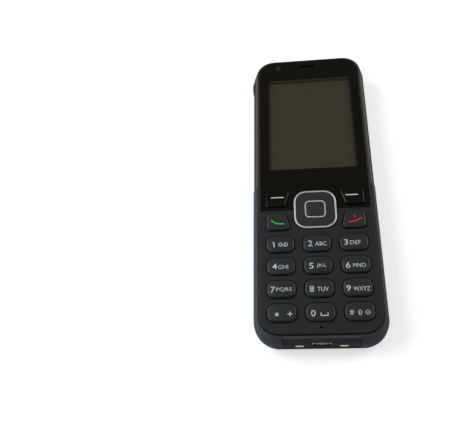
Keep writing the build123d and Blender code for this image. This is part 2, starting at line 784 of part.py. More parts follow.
# Navigation key: a rocking rounded square with a stepped hole for the key in its middle
with BuildPart() as nav_key:
    extrude(nav_outline(nav_flange_bottom, 0), amount=nav_top - trim_depth - nav_flange_bottom)
    extrude(nav_outline(nav_flange_bottom, nav_flange_reach), amount=nav_foot)
    extrude(nav_outline(nav_top - trim_depth, -trim_width), amount=trim_depth)
    extrude(ok_outline(nav_top - trim_depth, key_gap + ok_frame_width), amount=overrun, mode=Mode.SUBTRACT)
    extrude(ok_outline(nav_flange_bottom, key_gap), amount=overrun, mode=Mode.SUBTRACT)
    extrude(ok_outline(nav_flange_bottom, ok_step_reach + key_gap), amount=ok_step_height - nav_flange_bottom,
            mode=Mode.SUBTRACT)
    extrude(disc(nav_places[3:], nav_plunger_end, plunger_radius), amount=nav_flange_bottom - nav_plunger_end)
save(nav_key.part, "nav_key")

with BuildPart() as nav_ring:
    extrude(nav_outline(nav_top - trim_depth, 0), amount=trim_depth)
    extrude(nav_outline(nav_top - trim_depth, -trim_width), amount=trim_depth, mode=Mode.SUBTRACT)
    fillet(nav_ring.faces().sort_by(Axis.Z)[-1].edges(), radius=trim_round)
save(nav_ring.part, "nav_ring")

with BuildPart() as ok_frame:
    extrude(ok_outline(nav_top - trim_depth, key_gap + ok_frame_width), amount=trim_depth)
    extrude(ok_outline(nav_top - trim_depth, key_gap), amount=trim_depth, mode=Mode.SUBTRACT)
save(ok_frame.part, "ok_frame")

# Rocker under the navigation key: carries its side plungers and tilts left and right
with BuildPart() as nav_rocker:
    island_bottom = nav_flange_bottom - key_gap - island_thickness
    extrude(block(0, nav_y, island_bottom, nav_width - 2 * island_side_inset,
                  nav_width - 2 * island_end_inset, ok_radius), amount=island_thickness)
    extrude(disc(nav_places[1:3], nav_plunger_end, plunger_radius), amount=island_bottom - nav_plunger_end)
    extrude(disc(nav_places[:1], nav_plunger_end, island_hole_radius), amount=overrun, mode=Mode.SUBTRACT)
save(nav_rocker.part, "nav_rocker")

# Key in the middle of the navigation key
ok_foot_top = ok_step_height - ok_foot_gap
with BuildPart() as ok_key:
    extrude(ok_outline(ok_foot_top - ok_foot_thickness, 0), amount=nav_top - ok_foot_top + ok_foot_thickness)
    fillet(ok_key.faces().sort_by(Axis.Z)[-1].edges(), radius=edge_round)
    extrude(ok_outline(ok_foot_top - ok_foot_thickness, ok_foot_reach), amount=ok_foot_thickness)
    extrude(disc(nav_places[:1], plunger_end, plunger_radius), amount=ok_foot_top - plunger_end)
save(ok_key.part, "ok_key")

# Side key through the left wall, and the switch behind it
side_key_outer = -body_width / 2 - side_key_rise
side_key_foot_x = -body_width / 2 + housing_wall + side_key_slack
switch_face = side_key_foot_x + side_key_foot + side_key_travel + switch_gap

with BuildPart() as side_key:
    with BuildSketch(Plane.YZ.offset(side_key_outer)):
        with Locations((side_key_y, widest_height)):
            RectangleRounded(side_key_length, side_key_height, side_key_round)
    extrude(amount=side_key_foot_x - side_key_outer)
    fillet(side_key.faces().sort_by(Axis.X)[0].edges(), radius=edge_round)
    with BuildSketch(Plane.YZ.offset(side_key_foot_x)):
        with Locations((side_key_y, widest_height)):
            Rectangle(side_key_length + 2 * side_key_reach, side_key_height - 2 * side_key_gap)
    extrude(amount=side_key_foot)
save(side_key.part, "side_key")

with BuildPart() as side_switch:
    with BuildSketch(Plane.YZ.offset(switch_face + switch_nub)):
        with Locations((side_key_y, board_bottom - switch_height / 2)):
            Rectangle(switch_length, switch_height)
    extrude(amount=switch_width)
    with BuildSketch(Plane.YZ.offset(switch_face)):
        with Locations((side_key_y, board_bottom - switch_height / 2)):
            Rectangle(switch_length / 2, switch_height / 2)
    extrude(amount=switch_nub)
save(side_switch.part, "side_switch")

# Battery and its spring contact block
with BuildPart() as battery:
    extrude(block(0, battery_middle, battery_bottom, battery_width, battery_length, battery_radius),
            amount=battery_thickness)
    fillet(battery.edges().group_by(Axis.Z)[-1], radius=edge_round)
    fillet(battery.edges().group_by(Axis.Z)[0], radius=edge_round)
save(battery.part, "battery")

with BuildPart() as battery_contacts:
    contact_bottom = waist_back + housing_wall + seat_gap
    extrude(block(0, contact_y, contact_bottom, contact_width, contact_depth, edge_round),
            amount=board_bottom - contact_bottom)
save(battery_contacts.part, "battery_contacts")

# Screws from the back, and the threaded inserts that they bite into
with BuildPart() as housing_screws:
    screw_end = board_top + insert_length
    extrude(disc(screw_places, screw_seat - screw_head_height, screw_head_radius), amount=screw_head_height)
    extrude(disc(screw_places, screw_seat, screw_radius), amount=screw_end - screw_seat)
    with BuildSketch(Plane.XY.offset(screw_seat - screw_head_height)):
        with Locations(*screw_places):
            RegularPolygon(screw_radius, screw_socket_sides)
    extrude(amount=screw_head_height / 2, mode=Mode.SUBTRACT)
save(housing_screws.part, "housing_screws")

with BuildPart() as screw_inserts:
    extrude(disc(screw_places, board_top, insert_radius), amount=insert_length)
    extrude(disc(screw_places, board_top, screw_radius + thread_gap), amount=insert_length,
            mode=Mode.SUBTRACT)
save(screw_inserts.part, "screw_inserts")

# Rear camera with its window, flash light guide and flash light
with BuildPart() as rear_camera:
    extrude(disc([(0, camera_y)], housing_wall, barrel_radius), amount=board_bottom - housing_wall)
    extrude(block(0, camera_y, board_bottom - camera_base, camera_width, camera_width, edge_round),
            amount=camera_base)
save(rear_camera.part, "rear_camera")

with BuildPart() as camera_window:
    extrude(disc([(0, camera_y)], 0, window_radius), amount=window_depth)
save(camera_window.part, "camera_window")

with BuildPart() as flash_guide:
    extrude(disc([(flash_x, camera_y)], flash_inset, flash_radius), amount=flash_cap)
    extrude(disc([(flash_x, camera_y)], flash_inset, flash_stem_radius),
            amount=board_bottom - light_height - light_gap - flash_inset)
save(flash_guide.part, "flash_guide")

with BuildPart() as flash_light:
    extrude(block(flash_x, camera_y, board_bottom - light_height, light_width, light_width, edge_round),
            amount=light_height)
save(flash_light.part, "flash_light")

# Loudspeaker in its chamber, with two contact springs, and the vibration motor
with BuildPart() as loudspeaker:
    extrude(block(0, speaker_y, housing_wall, speaker_width, speaker_length, edge_round),
            amount=board_bottom - speaker_headroom - housing_wall)
    springs = [(-spring_spread, speaker_y), (spring_spread, speaker_y)]
    extrude(disc(springs, housing_wall, spring_radius), amount=board_bottom - housing_wall)
save(loudspeaker.part, "loudspeaker")

with BuildPart() as vibration_motor:
    extrude(disc([(motor_x, motor_y)], board_bottom - motor_thickness, motor_radius), amount=motor_thickness)
save(vibration_motor.part, "vibration_motor")

# Shield cans, open towards the board
with BuildPart() as shield_cans:
    for side in (-1, 1):
        extrude(block(side * can_x, can_y, board_bottom - can_height, can_width, can_length,
                      edge_round + can_wall), amount=can_height)
        extrude(block(side * can_x, can_y, board_bottom - can_height + can_wall, can_width - 2 * can_wall,
                      can_length - 2 * can_wall, edge_round), amount=can_height, mode=Mode.SUBTRACT)
save(shield_cans.part, "shield_cans")

# Antenna plate on the inner wall, with its two feeds up to the board
with BuildPart() as antenna:
    extrude(block(antenna_x, antenna_y, housing_wall, antenna_width, antenna_length, edge_round),
            amount=antenna_thickness)
    with BuildSketch(Plane.XY.offset(housing_wall)):
        with Locations((antenna_x, antenna_y)):
            with GridLocations(2 * feed_spread, 0, 2, 1):
                Rectangle(feed_width, feed_width)
    extrude(amount=board_bottom - housing_wall)
save(antenna.part, "antenna")

# Headset socket at the upper end, bored through from its mouth
jack_face = top_end - housing_wall - lean(board_bottom) - seat_gap
with BuildPart() as headset_socket:
    with BuildSketch(Plane.XZ.offset(-jack_face)):
        with Locations((jack_x, jack_z)):
            Rectangle(jack_width, jack_height)
    extrude(amount=jack_length)
    with BuildSketch(Plane.XZ.offset(-jack_face)):
        with Locations((jack_x, jack_z)):
            Circle(jack_bore_radius)
    extrude(amount=jack_bore_length - top_end + jack_face, mode=Mode.SUBTRACT)
save(headset_socket.part, "headset_socket")

# Charging and data socket at the lower end, a thin shell round a tongue
socket_face = top_end - socket_set_back
with BuildPart() as data_socket:
    with BuildSketch(Plane.XZ.offset(socket_face)):
        with Locations((0, socket_z)):
            RectangleRounded(socket_width, socket_height, socket_wall + edge_round)
    extrude(amount=-socket_length)
    with BuildSketch(Plane.XZ.offset(socket_face)):
        with Locations((0, socket_z)):
            RectangleRounded(socket_width - 2 * socket_wall, socket_height - 2 * socket_wall, edge_round)
            Rectangle(tongue_width, tongue_height, mode=Mode.SUBTRACT)
    extrude(amount=socket_wall - socket_length, mode=Mode.SUBTRACT)
save(data_socket.part, "data_socket")

# Charging contacts in the end block, each with a stem up to the board
with BuildPart() as charging_contacts:
    pad_back = top_end - contact_pad_thickness
    for side in (-1, 1):
        with BuildSketch(Plane.XZ.offset(pad_back)):
            with Locations((side * contact_x, contact_pad_z)):
                Rectangle(contact_pad_width, contact_pad_height)
        extrude(amount=contact_pad_thickness)
        with BuildSketch(Plane.XZ.offset(pad_back)):
            with Locations((side * contact_x, contact_pad_z)):
                Rectangle(contact_stem, contact_stem)
        extrude(amount=-contact_stem_reach)
        riser_y = contact_stem_reach - contact_stem / 2 - pad_back
        extrude(block(side * contact_x, riser_y, contact_pad_z, contact_stem, contact_stem, contact_round),
                amount=board_bottom - contact_pad_z)
save(charging_contacts.part, "charging_contacts")

# Microphone behind its hole at the lower end of the face
with BuildPart() as microphone:
    extrude(disc([(0, microphone_y)], board_top, microphone_radius), amount=microphone_height)
save(microphone.part, "microphone")

# Card holders on the back of the board, open towards the lower end
for holder_name, side, width, length in (("sim_holder", -1, sim_width, sim_length),
                                         ("memory_card_holder", 1, card_width, card_length)):
    with BuildPart() as holder:
        extrude(block(side * holder_x, holder_y, board_bottom - holder_height, width, length, edge_round),
                amount=holder_height)
        extrude(block(side * holder_x, holder_y - holder_wall, board_bottom - holder_height + holder_wall,
                      width - 2 * holder_wall, length, edge_round), amount=holder_height, mode=Mode.SUBTRACT)
    save(holder.part, holder_name)
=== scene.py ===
import math

import bmesh
import bpy
from mathutils import Matrix, Vector


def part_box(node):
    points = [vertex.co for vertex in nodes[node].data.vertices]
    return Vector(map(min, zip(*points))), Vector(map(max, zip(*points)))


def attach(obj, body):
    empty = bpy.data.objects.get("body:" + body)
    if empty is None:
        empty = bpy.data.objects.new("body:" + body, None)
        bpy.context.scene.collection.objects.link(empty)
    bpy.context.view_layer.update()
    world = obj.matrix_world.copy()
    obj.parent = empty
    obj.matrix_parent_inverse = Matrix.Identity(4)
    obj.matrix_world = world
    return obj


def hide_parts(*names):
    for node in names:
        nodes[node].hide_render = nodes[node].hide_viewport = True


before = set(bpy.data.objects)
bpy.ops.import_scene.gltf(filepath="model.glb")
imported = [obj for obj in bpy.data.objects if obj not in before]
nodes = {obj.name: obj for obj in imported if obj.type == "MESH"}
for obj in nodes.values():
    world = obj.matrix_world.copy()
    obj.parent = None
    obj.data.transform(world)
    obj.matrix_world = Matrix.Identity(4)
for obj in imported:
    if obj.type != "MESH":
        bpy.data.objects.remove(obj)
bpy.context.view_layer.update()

# Camera: at the photograph's viewing angle, about 27 cm from the phone and a little to its left.
# The phone lies on its back, so the camera looks down on it. Its place and turn come from the
# corners of the face, of the display and of the keypad.
MM = 0.001
camera_place = Vector((-6.56, -134.8, 234.0)) * MM
to_right = Vector((0.99252564, 0.01863052, -0.12060579))
to_top = Vector((0.03940176, 0.88642751, 0.46118735))
to_back = Vector((0.11550045, -0.46249235, 0.87906795))
camera_lens = bpy.data.cameras.new("camera")
camera_lens.sensor_width = 36
camera_lens.lens = 46.92
camera_lens.clip_start = 10 * MM
camera = bpy.data.objects.new("camera", camera_lens)
camera.matrix_world = Matrix.Translation(camera_place) @ Matrix(
    (to_right, to_top, to_back)).transposed().to_4x4()
bpy.context.scene.collection.objects.link(camera)
bpy.context.scene.camera = camera


# Main board: green glass-epoxy laminate with solder mask, 1 mm thick, held by the four screws.
# It lies inside with everything that is soldered to it, and shows only in an opened phone.
class Shade:
    """An output socket, on which Python's operators add Math nodes."""

    def __init__(self, graph, socket):
        self.graph = graph
        self.socket = socket

    def maths(self, operation, first, second):
        return self.graph.add("ShaderNodeMath", {"operation": operation}, {0: first, 1: second})

    def __add__(self, other):
        return self.maths("ADD", self, other)

    def __radd__(self, other):
        return self.maths("ADD", other, self)

    def __sub__(self, other):
        return self.maths("SUBTRACT", self, other)

    def __rsub__(self, other):
        return self.maths("SUBTRACT", other, self)

    def __mul__(self, other):
        return self.maths("MULTIPLY", self, other)

    def __rmul__(self, other):
        return self.maths("MULTIPLY", other, self)

    def __lt__(self, other):
        return self.maths("LESS_THAN", self, other)

    def __gt__(self, other):
        return self.maths("GREATER_THAN", self, other)

    def __abs__(self):
        return self.maths("ABSOLUTE", self, 0)


class Graph:
    """A node tree whose nodes are all added by one method."""

    def __init__(self, tree):
        self.tree = tree
        tree.nodes.clear()

    def add(self, kind, settings=None, values=None, out=0):
        """A node with its settings made first and then its sockets filled; returns one output."""
        node = self.tree.nodes.new(kind)
        for name, setting in (settings or {}).items():
            setattr(node, name, setting)
        for name, value in (values or {}).items():
            if isinstance(value, Shade):
                self.tree.links.new(value.socket, node.inputs[name])
            else:
                node.inputs[name].default_value = value
        return Shade(self, node.outputs[out]) if node.outputs else None


class Finish(Graph):
    """A material: its surface is worked out from the spot on the piece alone."""

    def __init__(self, name):
        self.material = bpy.data.materials.new(name)
        self.material.use_nodes = True
        super().__init__(self.material.node_tree)
        self.spot = self.add("ShaderNodeTexCoord", out="Object")

    def axis(self, letter):
        """The spot's X, Y or Z, in metres."""
        return self.add("ShaderNodeSeparateXYZ", None, {0: self.spot}, letter)

    def noise(self, spot, size, detail=2.0):
        """Noise whose lumps are about as wide as size, in metres."""
        return self.add("ShaderNodeTexNoise", None, {
            "Vector": spot, "Scale": 1 / size, "Detail": detail})

    def blend(self, share, first, second):
        """One colour passing into another as the share goes from 0 to 1."""
        return self.add("ShaderNodeMix", {"data_type": "RGBA"}, {0: share, 6: first, 7: second}, 2)

    def relief(self, height, depth):
        """A normal that raises the surface by depth, in metres, where height is 1."""
        return self.add("ShaderNodeBump", None, {
            "Height": height, "Distance": depth, "Strength": 1.0})

    def surface(self, **values):
        """The finish's own shader, from a Principled BSDF's sockets by their names."""
        named = {name.replace("_", " "): value for name, value in values.items()}
        return self.add("ShaderNodeBsdfPrincipled", None, named)

    def end(self, shader):
        """The finished material, with this shader as its surface."""
        self.add("ShaderNodeOutputMaterial", None, {"Surface": shader})
        return self.material


def colour(red, green, blue):
    """A colour written as it looks on a screen, from 0 to 255, as the shaders need it."""
    parts = [part / 255 for part in (red, green, blue)]
    return [part / 12.92 if part <= 0.04045 else ((part + 0.055) / 1.055) ** 2.4
            for part in parts] + [1]


def toned(tone, share):
    """A colour made darker or lighter by a share of its own."""
    return [part * share for part in tone[:3]] + [1]


def moulded(name, tone, roughness, grain=0.12 * MM, depth=0.006 * MM, mottle=0.12, gloss=0.5,
            overlay=None):
    """Moulded plastic with a spark-eroded grain: fine pits, and a faintly uneven tone and gloss.

    The overlay, if given, is a function of the finish and its colour that gives a new colour: here
    it paints shade along the housings' seam and groove.
    """
    cloud_size, roughness_spread = 9 * MM, 0.16
    finish = Finish(name)
    broad = finish.noise(finish.spot, cloud_size)
    fine = finish.noise(finish.spot, grain, 4.0)
    base = finish.blend(broad * 0.6 + fine * 0.4, toned(tone, 1 - mottle), toned(tone, 1 + mottle))
    return finish.end(finish.surface(
        Base_Color=overlay(finish, base) if overlay else base,
        Roughness=roughness + (fine - 0.5) * roughness_spread,
        Specular_IOR_Level=gloss,
        Normal=finish.relief(fine, depth)))


def metal(name, tone, roughness, streak=0.25, metallic=1.0):
    """Plated or rolled metal, faintly streaked along the phone as rolling leaves it."""
    drawn_out, streak_size, streak_depth = (6, 0.4, 6), 1.2 * MM, 0.002 * MM
    finish = Finish(name)
    drawn = finish.add("ShaderNodeMapping", None, {"Vector": finish.spot, "Scale": drawn_out})
    lines = finish.noise(drawn, streak_size, 5.0)
    return finish.end(finish.surface(
        Base_Color=tone, Metallic=metallic,
        Roughness=roughness + (lines - 0.5) * streak,
        Normal=finish.relief(lines, streak_depth)))


def dress(material, *names):
    """Gives CAD nodes their material."""
    for name in names:
        nodes[name].data.materials.clear()
        nodes[name].data.materials.append(material)


track_scale, track_gap, track_rise = 220.0, 0.03, 0.03 * MM
laminate = Finish("solder_mask")
tracks = laminate.add("ShaderNodeTexBrick", {"offset": 0.37}, {
    "Vector": laminate.spot, "Scale": track_scale, "Mortar Size": track_gap,
    "Color1": (0, 0, 0, 1), "Color2": (0.3, 0.3, 0.3, 1), "Mortar": (1, 1, 1, 1)})
dress(laminate.end(laminate.surface(
    Base_Color=laminate.blend(tracks, colour(12, 62, 38), colour(34, 98, 62)),
    Roughness=laminate.noise(laminate.spot, 3 * MM) * 0.2 + 0.25,
    Normal=laminate.relief(tracks, track_rise))), "main_board")

# Shield cans, card holders, and the cases of the vibration motor and the microphone: tinned
# steel, stamped and folded. The cans, the holders and the microphone are soldered to the board.
dress(metal("tinned_steel", colour(188, 189, 186), 0.34), "shield_cans", "sim_holder",
      "memory_card_holder", "vibration_motor", "microphone")

# Data socket: a thin shell of rolled steel round its tongue, for a plug that carries data and
# power. It is soldered to the board, with its mouth in the phone's lower end.
dress(metal("socket_steel", colour(176, 177, 178), 0.26), "data_socket")

# Charging contacts and antenna: spring bronze, gold plated. The contacts are two pads in the
# lower end, each on a stem up to the board. The antenna is a plate on the rear housing's inner
# wall, with two feeds.
dress(metal("gold_plate", colour(214, 176, 104), 0.22), "charging_contacts", "antenna")

# Screw inserts: threaded brass bushes, turned, and pressed hot into the posts of the front
# housing, so that the screws bite into metal.
dress(metal("turned_brass", colour(186, 150, 84), 0.32), "screw_inserts")

# Screws: zinc-plated steel with a hexagon socket, driven from the back under the battery
# cover, through the rear housing and the board and into the inserts.
dress(metal("zinc_plate", colour(120, 121, 124), 0.30), "housing_screws")

# Headset socket, battery contacts and side switch: black glass-filled nylon with contacts of
# spring bronze set in, soldered to the board where their openings lie.
dress(moulded("nylon", colour(30, 30, 31), 0.48), "headset_socket", "battery_contacts",
      "side_switch")

# Speakers: a film on a coil, in a black plastic frame with a steel yoke. One is glued under
# the earpiece slot and the other into its chamber in the back.
dress(moulded("speaker_frame", colour(34, 34, 36), 0.42), "earpiece_speaker", "loudspeaker")

# Keypad lights and flash light: clear resin over a yellow phosphor, moulded on a small carrier
# and soldered to the board.
phosphor = Finish("phosphor_resin")
dress(phosphor.end(phosphor.surface(
    Base_Color=phosphor.blend(phosphor.noise(phosphor.spot, 0.5 * MM),
                              colour(226, 208, 120), colour(240, 232, 190)),
    Roughness=0.25, Coat_Weight=0.6)), "keypad_lights", "flash_light")

# Dome sheet: clear polyester film, glued to the front of the board. It holds one stamped steel
# snap dome under each key.
film_thickness = 0.11 * MM
snap_film = Finish("dome_film")
above_film = snap_film.axis("Z") > nodes["dome_sheet"].bound_box[0][2] + film_thickness
dress(snap_film.end(snap_film.surface(
    Base_Color=snap_film.blend(above_film, colour(176, 172, 150), colour(196, 196, 196)),
    Metallic=above_film * 0.9,
    Roughness=0.22 + snap_film.noise(snap_film.spot, 2 * MM) * 0.15)), "dome_sheet")

# Keypad mat and the navigation key's rocker: translucent silicone, moulded, which springs the
# keys and seals their openings. The mat lies on the dome sheet, under the keys' feet.
dress(moulded("silicone", colour(150, 153, 156), 0.5, grain=0.4 * MM, depth=0.003 * MM,
              mottle=0.06), "keypad_mat", "nav_rocker")

# Battery: a flat lithium cell in a plain black wrapper, with a lighter band where the wrapper
# is sealed. It lies in the rear housing's bay against its spring contacts, under the cover.
seal_from_end, seal_half_width, wrap_depth = 4 * MM, 1.2 * MM, 0.02 * MM
wrapper = Finish("battery_wrapper")
seal_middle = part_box("battery")[0].y + seal_from_end
seal = abs(wrapper.axis("Y") - seal_middle) < seal_half_width
wrap_film = wrapper.noise(wrapper.spot, 2.5 * MM, 3.0)
dress(wrapper.end(wrapper.surface(
    Base_Color=wrapper.blend(
        seal, wrapper.blend(wrap_film, colour(38, 39, 42), colour(46, 47, 50)),
        colour(104, 106, 110)),
    Roughness=0.3 + wrap_film * 0.15, Normal=wrapper.relief(wrap_film, wrap_depth))), "battery")

# Display module: a liquid crystal glass in a black frame, held on the board by the front
# housing and its gasket. Unlit, its face is a dull olive grey with a fine grain of pixels.
view_low, view_high = Vector((-18.65, 6.8)) * MM, Vector((18.65, 56.7)) * MM
view_middle, view_half = (view_low + view_high) / 2, (view_high - view_low) / 2
glass_margin, pixel_scale, pixel_depth = 1.2 * MM, 4200.0, 0.0006 * MM
module = Finish("unlit_display")
x, y = map(module.axis, "XY")
active = ((abs(x) < view_half.x + glass_margin)
          * (abs(y - view_middle.y) < view_half.y + glass_margin))
cloud = module.noise(module.spot, 6 * MM, 3.0)
pixels = module.add("ShaderNodeTexNoise", None, {
    "Vector": module.spot, "Scale": pixel_scale, "Detail": 1.0})
olive = module.blend(cloud * 0.7 + pixels * 0.3, colour(48, 44, 30), colour(55, 50, 35))
dress(module.end(module.surface(
    Base_Color=module.blend(active, colour(18, 18, 16), olive), Roughness=0.35 + cloud * 0.1,
    Normal=module.relief(pixels, pixel_depth))), "display_module")

# Display gasket: black closed-cell foam, die cut, glued to the module and squeezed against the
# front housing, so that no dust comes between the display and its lens.
dress(moulded("foam", colour(24, 24, 24), 0.85, grain=0.25 * MM, depth=0.05 * MM),
      "display_gasket")

# Earpiece mesh: fine dark wire, woven and cut to size, glued over the earpiece speaker. The
# part behind the slot in the lens is painted lighter as lit, and the rest near black as shade.
wire_scale, wire_rise = 1200.0, 0.03 * MM
slot_end_margin, slot_half_height = 0.7 * MM, 0.75 * MM
weave = Finish("wire_mesh")
x, y = map(weave.axis, "XY")
warp, weft = [weave.add("ShaderNodeTexWave", {"bands_direction": direction}, {
    "Vector": weave.spot, "Scale": wire_scale}) for direction in "XY"]
wires = warp * 0.5 + weft * 0.5
mesh_low, mesh_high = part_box("earpiece_mesh")
# Painted light and shade: the wires show lit only where they lie behind the slot.
painted_light_behind_slot = ((abs(x) < mesh_high.x - slot_end_margin)
           * (abs(y - (mesh_low.y + mesh_high.y) / 2) < slot_half_height))
dress(weave.end(weave.surface(
    Base_Color=weave.blend(wires * painted_light_behind_slot, colour(6, 6, 6), colour(46, 46, 46)), Metallic=0.7,
    Roughness=0.5, Normal=weave.relief(wires, wire_rise))), "earpiece_mesh")

# Cameras: black moulded barrels on the board, one for each side of the phone, with a small
# dished glass in the middle and stepped rings round it, which keep stray light out.
selfie_glass_radius, rear_glass_radius, ring_waves = 0.3 * MM, 1.3 * MM, 9000
selfie_low, selfie_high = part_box("front_camera")
rear_low, rear_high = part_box("rear_camera")
selfie_middle, rear_middle = (selfie_low + selfie_high) / 2, (rear_low + rear_high) / 2


def distance(finish, middle):
    """How far a spot is from the middle of a round piece, seen from the front."""
    across = finish.axis("X") - middle.x
    along = finish.axis("Y") - middle.y
    return finish.add("ShaderNodeMath", {"operation": "SQRT"}, {0: across * across + along * along})


barrel = Finish("camera_barrel")
to_selfie, to_rear = distance(barrel, selfie_middle), distance(barrel, rear_middle)
upper_side = barrel.axis("Z") > selfie_low.z
glass = ((to_selfie < selfie_glass_radius) * upper_side
         + (to_rear < rear_glass_radius) * (1 - upper_side))
rings = barrel.add("ShaderNodeMath", {"operation": "SINE"}, {
    0: (to_selfie * upper_side + to_rear) * ring_waves})
dress(barrel.end(barrel.surface(
    Base_Color=barrel.blend(
        glass, barrel.blend(rings * 0.5 + 0.5, colour(40, 38, 29), colour(52, 49, 38)),
        colour(16, 16, 18)),
    Roughness=0.35 - glass * 0.3, Coat_Weight=glass)), "front_camera", "rear_camera")

# Rear housing: a glass-filled polycarbonate tub, spark-eroded matt, that carries the board.
# It shows round the upper half of the back and sides, and the battery lies in it. A fine
# shut line runs round it where it meets the front housing, and its shade is painted on as a dark
# line.
parting, seam_shade_half = 12.0 * MM, 0.14 * MM


def seam_shade(finish, base):
    """Painted shade: a dark line where the two housings' edges meet, for the shadow in the gap
    between them.
    """
    return finish.blend(abs(finish.axis("Z") - parting) < seam_shade_half, base, colour(8, 8, 9))


dress(moulded("rear_shell", colour(43, 46, 50), 0.85, gloss=0.15, overlay=seam_shade),
      "rear_housing")

# Camera window: a hard clear disc, glued into the back over the rear camera and printed black
# but for the camera's view.
clear_radius = 2.3 * MM
window = Finish("camera_window")
window_front = 1 - window.add("ShaderNodeNewGeometry", out="Backfacing")
clear = window.add("ShaderNodeMixShader", None, {
    0: window.add("ShaderNodeFresnel", None, {"IOR": 1.5}) * window_front,
    1: window.add("ShaderNodeBsdfTransparent"),
    2: window.add("ShaderNodeBsdfGlossy", None, {"Roughness": 0.03})})
dress(window.end(window.add("ShaderNodeMixShader", None, {
    0: distance(window, rear_middle) > clear_radius, 1: clear,
    2: window.surface(Base_Color=colour(14, 14, 15), Roughness=0.08, Coat_Weight=0.5)})),
    "camera_window")

# Flash guide: a frosted acrylic disc beside the window, pressed into the back over the flash
# light, with fine rings moulded in that spread its beam.
ridge_waves, ridge_depth = 24000, 0.02 * MM
frosted = Finish("light_guide")
guide_low, guide_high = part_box("flash_guide")
ridges = frosted.add("ShaderNodeMath", {"operation": "SINE"}, {
    0: distance(frosted, (guide_low + guide_high) / 2) * ridge_waves})
dress(frosted.end(frosted.surface(
    Base_Color=frosted.blend(ridges * 0.5 + 0.5, colour(206, 204, 188), colour(232, 230, 214)),
    Roughness=0.22, Coat_Weight=0.5, Normal=frosted.relief(ridges, ridge_depth))), "flash_guide")

# Front housing: the same matt polycarbonate, closed over the board with a lip all round,
# with every key opening and the recess for the lens moulded in. Over the battery cover it
# steps in a little, which leaves a groove along the cover's upper edge; the groove's shade is
# painted on as a dark band.
cover_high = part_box("battery_cover")[1]
groove_end = cover_high.y + 1 * MM
groove_low, groove_high = cover_high.z - 0.1 * MM, cover_high.z + 0.3 * MM


def front_shade(finish, base):
    """Painted shade: the dark line along the seam, and the dark band in the groove over the battery
    cover.
    """
    y, z = map(finish.axis, "YZ")
    groove_shade = (y < groove_end) * (z > groove_low) * (z < groove_high)
    return seam_shade(finish, finish.blend(groove_shade, base, colour(6, 6, 7)))


dress(moulded("front_shell", colour(31, 31, 31), 0.50, gloss=0.3, overlay=front_shade),
      "front_housing")

# Display lens: hardened acrylic, glued into its recess. Its back is printed black round the
# display, with a dull olive band over the display's upper edge, and a grey ring marks the camera.
# Where the print would lie on the recess's floor it is shown on the face instead. The band and
# the black on the back are painted lighter, to make up for the shade that the print on the face
# casts on them.
side_margin, far_margin, lightened_band_width = 0.75 * MM, 0.55 * MM, 1.0 * MM
selfie_hole_radius, selfie_ring_radius = 0.3 * MM, 1.2 * MM
pane = Finish("printed_lens")
x, y, z = map(pane.axis, "XYZ")
on_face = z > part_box("display_lens")[1].z - 0.01 * MM
over_display = ((abs(x) < on_face * side_margin + view_half.x)
                * (y > view_low.y - on_face * side_margin)
                * (y < view_high.y - on_face * far_margin))
# Painted light: the band's olive is made lighter, to make up for the shade the face print casts on
# it.
lightened_band = over_display * (1 - on_face) * (y > view_high.y - lightened_band_width)
from_selfie = distance(pane, selfie_middle)
haze = pane.noise(pane.spot, 14 * MM)
# Painted light: the black on the back is lighter than the black on the face, to make up for the
# shade it lies in.
face_black = pane.blend(haze, colour(12, 10, 6), colour(16, 14, 9))
black = pane.blend(on_face, colour(22, 20, 15), face_black)
gloss_print = pane.surface(
    Base_Color=pane.blend(from_selfie < selfie_ring_radius, black, colour(43, 40, 32)),
    Roughness=haze * 0.04 + 0.08)
outer_side = 1 - pane.add("ShaderNodeNewGeometry", out="Backfacing")
acrylic = pane.add("ShaderNodeMixShader", None, {
    0: pane.add("ShaderNodeFresnel", None, {"IOR": 1.49}) * outer_side,
    1: pane.add("ShaderNodeBsdfTransparent"),
    2: pane.add("ShaderNodeBsdfGlossy", None, {"Roughness": haze * 0.04 + 0.11})})
fields = pane.add("ShaderNodeMixShader", None, {
    0: over_display + (from_selfie < selfie_hole_radius), 1: gloss_print, 2: acrylic})
dress(pane.end(pane.add("ShaderNodeMixShader", None, {
    0: lightened_band, 1: fields,
    2: pane.add("ShaderNodeBsdfDiffuse", None, {"Color": colour(76, 71, 55)})})), "display_lens")

# Number, call and end keys: moulded caps with a soft-touch satin lacquer, on the silicone mat.
# Each is held in its opening by a foot that is wider than the opening.
satin = moulded("key_lacquer", colour(33, 34, 34), 0.44, grain=0.16 * MM, depth=0.004 * MM,
                gloss=0.4)
dress(satin, "key_1", "key_2", "key_3", "key_4", "key_5", "key_6", "key_7", "key_8", "key_9",
      "key_star", "key_0", "key_hash", "call_key", "end_key")

# Soft keys: moulded caps in polished black that stand in openings of the lens's printed field,
# held in by a foot as the other keys are.
polished = Finish("gloss_black")
sheen = polished.noise(polished.spot, 5 * MM)
dress(polished.end(polished.surface(
    Base_Color=polished.blend(sheen, colour(9, 8, 7), colour(14, 13, 11)),
    Roughness=0.12 + sheen * 0.08)), "soft_key_left", "soft_key_right")

# Navigation key: moulded and lacquered satin black, with a plated band near its edge and a
# plated frame round the key in its middle. Both are pressed into its top.
dress(moulded("nav_lacquer", colour(40, 40, 40), 0.40, grain=0.16 * MM, depth=0.003 * MM,
              gloss=0.4), "nav_key", "ok_key")
dress(metal("satin_silver", colour(200, 203, 206), 0.40, streak=0.12, metallic=0.5),
      "nav_ring", "ok_frame")

